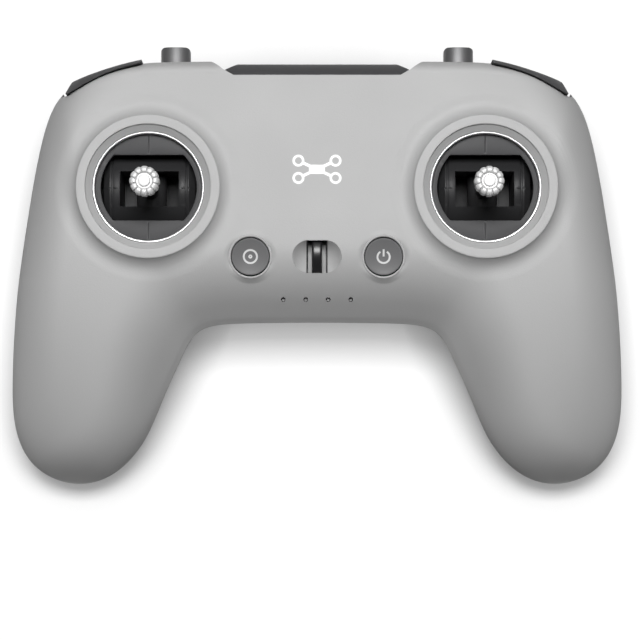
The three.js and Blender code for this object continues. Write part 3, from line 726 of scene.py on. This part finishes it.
front = lined(shell_mesh(True, SEAM), (PARTING_Z + SEAM, 60))
cuts = common_cuts()
cuts.append(bm_of(*prism(stadium(0, LANYARD_Y, LANYARD_L, LANYARD_W), 34, 60)))
for step in LED_STEPS:
    cuts.append(disc(0.6, 28, 45, (step * LED_PITCH, LED_Y), 24))
for _, side in SIDES:
    cuts.append(disc(RING_SKIRT, 32, 60, (side * STICK_X, STICK_Y), 192))
    cuts.append(disc(BUTTON_SKIRT, 34, 60, (side * BUTTON_X, BUTTON_Y), 96))
front = boolean(front, join_bms(*cuts))


def skirt(cx, cy, stations, height, bottom, segments=192):
    """A round patch of the face that stands up around an opening. stations are radii from the outside in, and
    height(x, y, r, surface) says how high it is there."""
    def ring(r):
        angles = [2 * math.pi * k / segments for k in range(segments)]
        return [(cx + r * math.cos(a), cy + r * math.sin(a)) for a in angles]

    verts = [(x, y, height(x, y, r, face_height(x, y))) for r in stations for x, y in ring(r)]
    for r in (stations[-1], stations[-1] + 1.2):
        verts += [(x, y, bottom) for x, y in ring(r)]
    verts += [(x, y, face_height(x, y) - 1.6) for x, y in ring(stations[0])]
    return bm_of(verts, band_faces(len(stations) + 3, segments, closed=True))


MOAT = 0.9  # how far the face dips around a raised ring
RING_ROUND = 0.4
LIP_OUTER, LIP_MIDDLE, LIP_ROUND = 5.75, 5.45, 0.3


def ring_height(x, y, r, surface):
    if r <= RING_OUTER:
        edge = max(0.0, r - (RING_OUTER - RING_ROUND), (RING_INNER + 0.3) - r)
        return RING_TOP_Z - RING_ROUND * (1 - math.sqrt(max(0.0, 1 - (edge / RING_ROUND) ** 2)))
    t = (r - RING_OUTER) / (RING_SKIRT - RING_OUTER)
    lift = RING_TOP_Z - RING_ROUND - surface
    return surface + (lift + MOAT) * (1 - t) ** 3.2 - MOAT * (1 - t) ** 2 * (1 + 2 * t)


ring_stations = list(np.linspace(RING_SKIRT, RING_OUTER + 0.05, 26)) + [19.03, 18.98, 18.9, 18.8, 18.65]
ring_stations += [18.2, 17.5, 16.8, 16.72, 16.62, 16.54, 16.5]


def button_plane(x, y):
    return BUTTON_Z + 0.42 + (y - BUTTON_Y) * math.tan(BUTTON_TILT)


def lip_height(x, y, r, surface):
    crest = button_plane(x, y)
    if r <= LIP_OUTER:
        edge = abs(r - LIP_MIDDLE)
        return crest - 0.25 * (1 - math.sqrt(max(0.0, 1 - (edge / LIP_ROUND) ** 2)))
    t = (r - LIP_OUTER) / (BUTTON_SKIRT - LIP_OUTER)
    return surface + (crest - 0.25 - surface) * (1 - t) ** 2


lip_stations = list(np.linspace(BUTTON_SKIRT, 5.76, 12))
lip_stations += [5.74, 5.7, 5.62, 5.54, 5.45, 5.36, 5.28, 5.2, 5.16]
parts = [bm_from(front)]
for _, side in SIDES:
    parts.append(skirt(side * STICK_X, STICK_Y, ring_stations, ring_height, 41.2))
    parts.append(skirt(side * BUTTON_X, BUTTON_Y, lip_stations, lip_height, 39.5, 96))
add_object("front_casing", join_bms(*parts), "shell", "casing", ("front_shell",), sharp=32)

rear = lined(shell_mesh(False, SEAM), (-5, PARTING_Z - SEAM))
cuts = common_cuts() + [shoulder_hole(1)]
for _, side in SIDES:
    cuts.append(rod_along("y", 4.5, -22, 0, (side * SOCKET_X, SOCKET_Z)))
    for x, y, seat in SCREWS:
        cuts.append(disc(2.9, -5, seat, (side * x, y), 48))
cuts.append(prism_along_y(stadium(0, 21.9, 9.6, 3.8), -22, -10))
rear = boolean(rear, join_bms(*cuts))
rear = boolean(rear, shoulder_hole(-1))
parts = [bm_from(rear)]
for _, side in SIDES:
    for x, y, seat in SCREWS:
        mouth = 1.5 if seat < 10 else 3
        profile = [(2.9, mouth), (3.6, mouth), (3.6, seat + 1.5), (1.4, seat + 1.5), (1.4, seat), (2.9, seat)]
        parts.append(bm_of(*lathe(profile, 48, (side * x, y))))
add_object("rear_casing", join_bms(*parts), "shell", "casing", ("rear_shell",), sharp=32)

# --------------------------------------------------------------------------------------------------
# Stick gimbals
# --------------------------------------------------------------------------------------------------


def crown_top():
    """The stick cap: a centre disc, a groove, and twelve rounded petals with valleys between them."""
    petals, segments = 12, 240
    rows = [(0.9, 62.0), (1.3, 61.99), (1.45, 61.95), (1.62, 61.2), (2.0, 61.2), (2.12, 61.75), (2.5, 61.98),
            (3.2, 61.9), (3.6, 61.62), (3.82, 61.1), (3.9, 60.4), (3.9, 57.6), (3.5, 57.0), (3.1, 56.8),
            (3.1, 54.0), (2.3, 54.0)]
    verts, faces = [(0, 0, 62.0)], []
    for r, z in rows:
        for k in range(segments):
            a = 2 * math.pi * k / segments
            lobe = abs(math.cos(petals * a / 2))
            valley = (1 - lobe) ** 5
            radius = r - (0.3 * (1 - lobe) ** 2 if r > 3.3 and z > 56.9 else 0.0)
            height = z - (0.45 * valley if r > 2.05 and z > 61.0 else 0.0)
            verts.append((radius * math.cos(a), radius * math.sin(a), height))
    for k in range(segments):
        faces.append((0, 1 + k, 1 + (k + 1) % segments))
    for i in range(len(rows) - 1):
        for k in range(segments):
            j = (k + 1) % segments
            a, b = 1 + i * segments, 1 + (i + 1) * segments
            faces.append((a + k, b + k, b + j, a + j))
    return verts, faces


for name, side in SIDES:
    stick_place = Matrix.Translation((side * STICK_X * MM, STICK_Y * MM, 0.0))

    bezel = [(14.75, 41.4), (16.2, 41.4), (16.2, 46.2), (16.49, 46.35), (16.49, 46.75), (16.4, 46.82),
             (14.95, 45.5), (14.75, 45.35)]
    ring = transform_bm(bm_of(*lathe(bezel, 160)), stick_place)
    add_object(f"{name}_bezel_ring", ring, "bezel", "casing", (f"{name}_stick_bezel",))
    trim = rounded([(14.05, 43.8), (14.72, 43.8), (14.72, 45.4), (14.1, 45.2)], [0.05, 0.05, 0.2, 0.2])
    ring = transform_bm(bm_of(*lathe(trim, 160)), stick_place)
    add_object(f"{name}_bright_ring", ring, "trim", "casing", (f"{name}_trim_ring",))

    plate = to_mesh(disc(14.68, 41.8, 43.5, segments=160))
    opening = to_mesh(disc(12.7, 40, 50, segments=128))
    opening = boolean(opening, block((-20, 20), (-8.7, 8.7), (40, 50)), "INTERSECT")
    plate = boolean(plate, bm_from(opening))
    ticks = [block((-0.14, 0.14), (9.4, 13.8), (43.25, 45)), block((-0.14, 0.14), (-13.8, -9.4), (43.25, 45))]
    plate = boolean(plate, join_bms(*ticks))
    plate = transform_bm(bevel_sharp(bm_from(plate), 0.18, 2, 40), stick_place)
    add_object(f"{name}_cover_plate", plate, "dark", "casing", (f"{name}_gimbal_cover",))

    # the barrel, lying along X, with turned grooves near its ends and a window for the stick
    profile = [(9.5, -12.2), (11.5, -10.5), (11.5, -10.05), (11.15, -10.0), (11.15, -9.6), (11.5, -9.55),
               (11.5, 9.55), (11.15, 9.6), (11.15, 10.0), (11.5, 10.05), (11.5, 10.5), (9.5, 12.2)]
    full = [(0, -12.2)] + profile + [(0, 12.2)]
    verts, faces = lathe(full, 128, closed=False)
    drum = to_mesh(bm_of([(z, x, y + PIVOT_Z) for x, y, z in verts], faces))
    drum = boolean(drum, block((-7.8, 7.8), (-4.7, 4.7), (22.5, 50)))
    lips = [block((-10.9, -8.6), (-0.12, 0.12), (41.2, 43)), block((8.6, 10.9), (-0.12, 0.12), (41.2, 43))]
    drum = boolean(drum, join_bms(*lips))
    ends = (-17.6, 21.5) if side > 0 else (-21.5, 17.6)
    for start, end in ((ends[0], -9), (9, ends[1])):
        drum = boolean(drum, rod_along("x", 2.5, start, end, (0, PIVOT_Z), 32), "UNION")
    drum = boolean(drum, rod_along("y", 1.5, -12, 12, (0, PIVOT_Z), 24))
    drum = transform_bm(bevel_sharp(bm_from(drum), 0.14, 2, 50), stick_place)
    add_object(f"{name}_barrel_drum", drum, "black", f"{name}_barrel", (f"{name}_gimbal_barrel",),
               sharp=28)

    post = [(0, 26.5), (1.6, 26.5), (1.9, 30), (2.0, 33), (2.0, 52.5), (1.7, 53.2), (1.7, 59.4), (0, 59.4)]
    shaft = to_mesh(bm_of(*lathe(post, 48, closed=False)))
    shaft = boolean(shaft, rod_along("y", 4, -4.4, 4.4, (0, PIVOT_Z)), "UNION")
    shaft = boolean(shaft, rod_along("y", 1.5, -12, 12, (0, PIVOT_Z), 24))
    shaft = transform_bm(bevel_sharp(bm_from(shaft), 0.15, 2, 50), stick_place)
    add_object(f"{name}_stick_shaft", shaft, "black", f"{name}_stick", (f"{name}_stick_post",))
    crown = transform_bm(bm_of(*crown_top()), stick_place)
    add_object(f"{name}_stick_crown", crown, "stick", f"{name}_stick", (f"{name}_stick_cap",),
               sharp=50)

# --------------------------------------------------------------------------------------------------
# Buttons, lights and lanyard bar
# --------------------------------------------------------------------------------------------------

BUTTON_MATRICES = {
    side: Matrix.Translation(Vector((side * BUTTON_X, BUTTON_Y, BUTTON_Z)) * MM)
    @ Matrix.Rotation(BUTTON_TILT, 4, "X")
    for _, side in SIDES
}
DISH_R, DISH_Z = 24.0, 23.72


def dish_z(x, y):
    """The hollow top of a round button: a shallow part of a sphere."""
    return DISH_Z - math.sqrt(DISH_R**2 - x * x - y * y)


PRINT_LIFT = 0.03


def ribbon(path, width, height, lift=PRINT_LIFT):
    """A flat printed line along a path of (x, y) points, lying on a surface given by height(x, y)."""
    verts, faces = [], []
    n = len(path)
    for i, (x, y) in enumerate(path):
        (ax, ay), (bx, by) = path[max(0, i - 1)], path[min(n - 1, i + 1)]
        if path[0] == path[-1] and i in (0, n - 1):
            (ax, ay), (bx, by) = path[-2], path[1]
        d = math.hypot(bx - ax, by - ay)
        nx, ny = -(by - ay) / d * width / 2, (bx - ax) / d * width / 2
        for s, drop in ((1, 0), (-1, 0), (-1, 0.05), (1, 0.05)):
            px, py = x + s * nx, y + s * ny
            verts.append((px, py, height(px, py) + lift - drop))
    for i in range(n - 1):
        for k in range(4):
            j = (k + 1) % 4
            faces.append((i * 4 + k, i * 4 + j, i * 4 + 4 + j, i * 4 + 4 + k))
    faces += [(0, 1, 2, 3), (4 * n - 4, 4 * n - 3, 4 * n - 2, 4 * n - 1)]
    return bm_of(verts, faces)


def arc(cx, cy, r, start, end, steps=40):
    angles = [math.radians(start + (end - start) * k / steps) for k in range(steps + 1)]
    points = [(cx + r * math.cos(a), cy + r * math.sin(a)) for a in angles]
    if end - start >= 360:
        points[-1] = points[0]
    return points


for (name, side), node in zip(SIDES, ("custom_button", "power_button")):
    rim_z = dish_z(4.7, 0)
    profile = [(r, dish_z(r, 0)) for r in np.linspace(0, 4.7, 16)]
    profile += [(4.85, rim_z), (4.97, rim_z - 0.12), (5.0, rim_z - 0.3), (5.0, -3), (2.0, -3), (2.0, -9.5),
                (0, -9.5)]
    cap = transform_bm(bm_of(*lathe(profile, 96, closed=False)), BUTTON_MATRICES[side])
    add_object(f"{name}_round_button", cap, "button", node, (node,))
    if side > 0:
        paths = [(arc(0, -0.1, 1.62, 122, 418), 0.5), ([(0, 0.0), (0, 1.0), (0, 1.95)], 0.5)]
    else:
        paths = [(arc(0, 0, 1.75, 0, 360), 0.5), (arc(0, 0, 0.34, 0, 360, 24), 0.4)]
    lines = [ribbon(path, width, dish_z) for path, width in paths]
    icon = transform_bm(join_bms(*lines), BUTTON_MATRICES[side])
    add_object(f"{name}_button_icon", icon, "icon", node)

# the lanyard recess: a dish that follows the outline of the hole, with a slot across its middle
DISH_FLOOR_Z = 39.4
dish_rows = []
for t in np.linspace(1.0, 0.0, 22)[:-1]:
    outline = stadium(0, LANYARD_Y, LANYARD_L - 0.1, LANYARD_W - 0.1, 24)
    dish_rows.append([(x * t, LANYARD_Y + (y - LANYARD_Y) * t) for x, y in outline])
verts = []
rim_points = dish_rows[0]
for i, row in enumerate(dish_rows):
    t = 1 - i / 21
    for (x, y), (rx, ry) in zip(row, rim_points):
        rim_z = face_height(rx * 1.01, LANYARD_Y + (ry - LANYARD_Y) * 1.02) - 0.25
        verts.append((x, y, rim_z * t**2 + DISH_FLOOR_Z * (1 - t**2)))
count = len(rim_points)
faces = band_faces(len(dish_rows), count)
centre_index = len(verts)
verts.append((0, LANYARD_Y, DISH_FLOOR_Z))
last = (len(dish_rows) - 1) * count
faces += [(last + k, last + (k + 1) % count, centre_index) for k in range(count)]
base_index = len(verts)
verts += [(x, y, 37.0) for x, y in rim_points]
for k in range(count):
    j = (k + 1) % count
    faces.append((k, j, base_index + j, base_index + k))
faces.append(tuple(base_index + k for k in range(count)))
whole_dish = to_mesh(bm_of(verts, faces))
dish_mesh = boolean(whole_dish.copy(), block((-2.8, 2.8), (-8, 10), (37.8, 60)))
dish = bevel_sharp(bm_from(dish_mesh), 0.12, 2, 50)
add_object("lanyard_dish", dish, "shell", "casing", ("lanyard_cup",))
slot = block((-2.79, 2.79), (LANYARD_Y - 4.15, LANYARD_Y + 4.15), (37.2, 50))
liner = boolean(whole_dish, slot, "INTERSECT")
liner = boolean(liner, block((-2.45, 2.45), (LANYARD_Y - 5, LANYARD_Y + 5), (37.7, 60)))
add_object("lanyard_slot_liner", bm_from(liner), "black", "casing")


def bar_line(t):
    """Height of the middle of the lanyard bar, t from -1 at its lower end to 1 at its upper end."""
    return 41.3 + 1.6 * (1 - t * t) + 1.0 * t - 0.6 * max(0.0, -t) ** 2


verts = []
section = rounded([(-1.35, -0.75), (1.35, -0.75), (1.35, 0.75), (-1.35, 0.75)], [0.25, 0.25, 0.6, 0.6])
bar_steps = 28
for i in range(bar_steps + 1):
    t = -1 + 2 * i / bar_steps
    slope = (bar_line(t + 0.01) - bar_line(t - 0.01)) / 0.02 / 4.0
    tilt = math.atan(slope)
    for u, v in section:
        verts.append((u, LANYARD_Y + 4.0 * t - v * math.sin(tilt), bar_line(t) + v * math.cos(tilt)))
size = len(section)
faces = band_faces(bar_steps + 1, size)
faces += [tuple(range(size)), tuple(bar_steps * size + k for k in range(size))]
bar = bm_of(verts, faces)
add_object("lanyard_loop_bar", bar, "gloss_black", "casing", ("lanyard_bar",), sharp=60)

guides = [block((-10.2, 10.2), (LED_Y - 1, LED_Y + 1.2), (28.2, 29.8))]
for step in LED_STEPS:
    x = step * LED_PITCH
    top = face_height(x + 1.5, LED_Y) - 1.3
    profile = [(0, 29), (0.55, 29), (0.55, top - 0.15), (0.4, top), (0, top)]
    guides.append(bm_of(*lathe(profile, 24, (x, LED_Y), closed=False)))
add_object("light_guide_bar", join_bms(*guides), "gloss_black", "casing", ("led_light_guide",))

# a plain printed mark on the face: a four-rotor pictogram
MARK_Y = 23.7


def flat_face(x, y):
    return FACE_Z


lines = []
for sx in (-1, 1):
    for sy in (-1, 1):
        lines.append(ribbon(arc(sx * 4.9, MARK_Y + sy * 2.3, 1.25, 0, 360), 0.66, flat_face))
        arm = [(sx * x, MARK_Y + sy * y) for x, y in ((1.0, 0.5), (2.5, 1.15), (3.75, 1.75))]
        lines.append(ribbon(arm, 0.8, flat_face, lift=0.036))
hub = [(-2.1, MARK_Y - 1.2), (2.1, MARK_Y - 1.2), (2.1, MARK_Y + 1.2), (-2.1, MARK_Y + 1.2)]
lines.append(bm_of(*prism(rounded(hub, 0.6), FACE_Z - 0.02, FACE_Z + 0.045)))
add_object("printed_pictogram", join_bms(*lines), "print", "casing")

# --------------------------------------------------------------------------------------------------
# Shoulder controls
# --------------------------------------------------------------------------------------------------

outer_skin, inner_skin = to_mesh(closed_body(1.4)), to_mesh(closed_body(-WALL))
straight = [(46.6, 40), (67.6, 40), (66.9, 44.6), (65.4, 47.7), (64.4, 48.1), (46.6, 53.3)]
for name, side in SIDES:
    made = boolean(outer_skin.copy(), bm_of(*prism(shoulder_plan(side, 0), 15, 60)), "INTERSECT")
    made = boolean(made, bm_of(*prism([(side * x, y) for x, y in straight], 0, 60)), "INTERSECT")
    made = boolean(made, bm_from(inner_skin))
    made = boolean(made, shoulder_hole(side))
    panel, node = bm_from(made), f"{name}_shoulder_insert"
    add_object(f"{name}_shoulder_panel", panel, "dark", "casing", (node,), sharp=40)

    middle = side * TOGGLE_X
    x0, x1 = middle - TOGGLE_HALF, middle + TOGGLE_HALF
    crowned = [(x0, 21.5), (x1, 21.5), (x1, TOGGLE_Z)]
    for a in np.linspace(0.25, math.pi - 0.25, 22):
        crowned.append((middle + TOGGLE_HALF * math.cos(a), TOGGLE_Z + 2.3 * math.sin(a)))
    crowned += [(x0, TOGGLE_Z)]
    lever = to_mesh(prism_along_y(crowned, 45, 59.5))
    plan = rounded([(x0 - 0.1, 44), (x1 + 0.1, 44), (x1 + 0.1, 59.1), (x0 - 0.1, 59.1)], [0, 0, 1.3, 1.3])
    lever = boolean(lever, bm_of(*prism(plan, 15, 30)), "INTERSECT")
    lever = bevel_sharp(bm_from(lever), 0.3, 3, 40)
    add_object(f"{name}_toggle_blade", lever, "toggle", f"{name}_toggle", (f"{name}_toggle_lever",),
               sharp=50)

# the dial: a knurled wheel on an upright axle
verts = []
teeth, per = 44, 6
rows = [(1.8, 19.0), (6.2, 19.0), (6.6, 19.3), (7.0, 19.8), (7.0, 26.2), (6.6, 26.7), (6.2, 27.0),
        (1.8, 27.0)]
around = teeth * per
for r, z in rows:
    for k in range(around):
        a = 2 * math.pi * k / around
        groove = 0.32 if (k % per) in (0, 1) and r > 6.5 else 0.0
        verts.append((DIAL_X + (r - groove) * math.cos(a), DIAL_Y + (r - groove) * math.sin(a), z))
faces = band_faces(len(rows), around, closed=True)
add_object("knurled_dial", bm_of(verts, faces), "button", "dial", ("dial_wheel",), sharp=40)

profile = rounded([(0, -3), (4.2, -3), (4.2, 1.3), (0, 1.3)], [0, 0.1, 0.5, 0])
cap = bm_of(*lathe(profile, 64, closed=False))
turn = SHOULDER_PLACE @ Matrix.Rotation(-math.pi / 2, 4, "X")
cap = transform_bm(cap, turn)
add_object("record_button_cap", cap, "button", "record_button", ("record_button",))

# --------------------------------------------------------------------------------------------------
# Antenna
# --------------------------------------------------------------------------------------------------

low_z, high_z = HUB_Z - HUB_R, HUB_Z - HUB_R + 5
side_view = [(16, high_z), (16, low_z)]
for a in np.linspace(0, math.pi * 1.5 - 0.2, 40):
    side_view.append((HUB_Y + HUB_R * math.sin(a), HUB_Z - HUB_R * math.cos(a)))
verts, faces = prism(side_view, -26.2, 26.2)
paddle = to_mesh(bm_of([(z, x, y) for x, y, z in verts], faces))
plan = [(21.5, 57.4), (26.2, 54.8), (26.2, 22), (22, 10)]
plan = rounded(plan + [(-x, y) for x, y in plan[::-1]], [0.6, 1.0, 5, 3, 3, 5, 1.0, 0.6])
paddle = boolean(paddle, bm_of(*prism(plan, -5, 30)), "INTERSECT")
paddle = boolean(paddle, rod_along("x", 1.5, -40, 40, (HUB_Y, HUB_Z), 24))
paddle = bevel_sharp(bm_from(paddle), 0.4, 3, 40)
add_object("antenna_flap", paddle, "dark", "antenna", ("antenna_paddle",), sharp=40)

# --------------------------------------------------------------------------------------------------
# Bottom edge
# --------------------------------------------------------------------------------------------------

port = rounded([(-4.5, 20.3), (4.5, 20.3), (4.5, 23.5), (-4.5, 23.5)], 1.5)
mouth = rounded([(-4.15, 20.65), (4.15, 20.65), (4.15, 23.15), (-4.15, 23.15)], 1.2)
shell_part = boolean(to_mesh(prism_along_y(port, -14.5, -7)), prism_along_y(mouth, -16, -8))
tongue = block((-3.3, 3.3), (-13.5, -7.9), (21.6, 22.2))
add_object("charging_port", join_bms(bm_from(shell_part), tongue), "steel", "casing", ("usb_port",))
sleeve = [(3.4, -15.4), (4.2, -15.4), (4.2, -2), (0, -2), (0, -3.5), (3.4, -3.5)]
for name, side in SIDES:
    verts, faces = lathe(rounded(sleeve, [0.3, 0.15, 0, 0, 0, 0.2]), 64)
    tube = bm_of([(side * SOCKET_X + x, z, SOCKET_Z + y) for x, y, z in verts], faces)
    add_object(f"{name}_socket_sleeve", tube, "black", "casing", (f"{name}_stick_socket",))

# --------------------------------------------------------------------------------------------------
# Stage
# --------------------------------------------------------------------------------------------------

FLOOR = 3000
corners = [(-FLOOR, -FLOOR, 0), (FLOOR, -FLOOR, 0), (FLOOR, FLOOR, 0), (-FLOOR, FLOOR, 0)]
floor_mesh = bpy.data.meshes.new("floor")
floor_mesh.from_pydata([tuple(c * MM for c in corner) for corner in corners], [], [(0, 1, 2, 3)])
floor = add_object("floor", floor_mesh, "floor", body=None)
floor.visible_diffuse = False
glow = MAT["floor"].node_tree.nodes["Principled BSDF"]
glow.inputs["Emission Color"].default_value = (1, 1, 1, 1)
# painted contact shadow: the floor's glow fades where the body stands over it, scaled by ambient occlusion
floor_nodes, floor_links = MAT["floor"].node_tree.nodes, MAT["floor"].node_tree.links
occlusion = floor_nodes.new("ShaderNodeAmbientOcclusion")
occlusion.inputs["Distance"].default_value = 0.016
contrast = floor_nodes.new("ShaderNodeMath")
contrast.operation = "POWER"
contrast.inputs[1].default_value = 1.3
strength = floor_nodes.new("ShaderNodeMath")
strength.operation = "MULTIPLY"
strength.inputs[1].default_value = 0.52
floor_links.new(occlusion.outputs["AO"], contrast.inputs[0])
floor_links.new(contrast.outputs[0], strength.inputs[0])
floor_links.new(strength.outputs[0], glow.inputs["Emission Strength"])

for node, obj in frame["nodes"].items():
    slot_name = next(s["material_slot"] for s in frame["record"]["subparts"] if s["node"] == node)
    for i in range(len(obj.material_slots)):
        obj.material_slots[i].material = MAT[slot_name]
